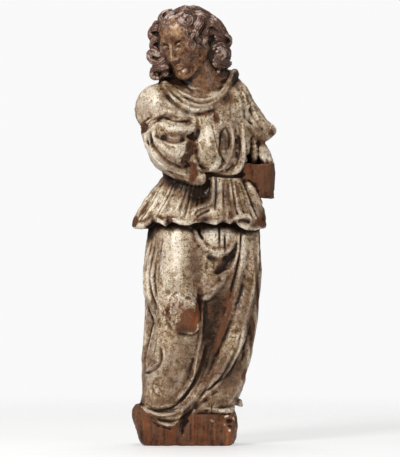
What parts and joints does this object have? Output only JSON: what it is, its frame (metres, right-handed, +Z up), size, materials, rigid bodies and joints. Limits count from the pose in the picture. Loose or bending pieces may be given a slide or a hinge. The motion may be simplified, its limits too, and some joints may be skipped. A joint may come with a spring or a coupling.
{
  "type": "angel carving",
  "caption": "Standing robed angel carved from one block of wood on a rough ground block, with curly hair, a flared tunic over a long skirt, lost forearms and a sawn stump at one elbow.",
  "frame": {"origin": "on the flat underside of the ground block, below the middle of the figure", "axes": "+Z up along the figure, -Y towards the viewer of its front, +X to that viewer's right"},
  "size_m": [0.209, 0.1245, 0.638],
  "materials": {
    "painted_wood": "worn paint over gesso, bare dark wood where it is lost, waxed"
  },
  "bodies": {
    "root": {"angel_figure": "painted_wood"}
  },
  "joints": []
}
